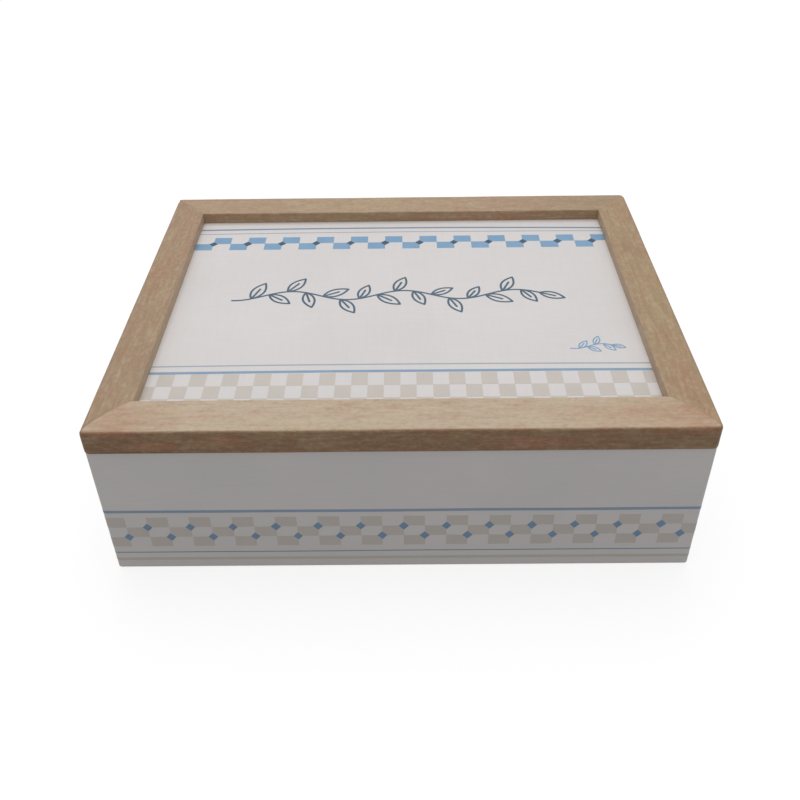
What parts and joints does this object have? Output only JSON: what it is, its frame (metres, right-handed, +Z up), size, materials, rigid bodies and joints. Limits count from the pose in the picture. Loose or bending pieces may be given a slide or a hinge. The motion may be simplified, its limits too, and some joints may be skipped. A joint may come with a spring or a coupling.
{
  "type": "wooden tea box",
  "caption": "shut wooden box for tea: painted carcass with a low printed border, natural wood lid frame round a sunk printed board, small butt hinges at the back",
  "frame": {"origin": "middle of the carcass's foot, on the surface the box stands on", "axes": "+Z up; X along the box's length, +X to the right seen from the front; -Y faces the front, and the hinges are at +Y"},
  "size_m": [0.24, 0.1905, 0.077],
  "materials": {
    "painted_wood": "off-white eggshell paint",
    "natural_wood": "fine sanded, clear matt",
    "printed_board": "matt printed off-white",
    "bare_board": "smooth brown fibreboard",
    "hinge_brass": "plated, satin"
  },
  "bodies": {
    "root": {"carcass": "painted_wood", "base_board": "bare_board", "lid_rail_front": "natural_wood", "lid_rail_right": "natural_wood", "lid_rail_back": "natural_wood", "lid_rail_left": "natural_wood", "lid_board": "printed_board", "hinge_left_lid_leaf": "hinge_brass", "hinge_left_carcass_leaf": "hinge_brass", "hinge_left_pin": "hinge_brass", "hinge_right_lid_leaf": "hinge_brass", "hinge_right_carcass_leaf": "hinge_brass", "hinge_right_pin": "hinge_brass"}
  },
  "joints": []
}
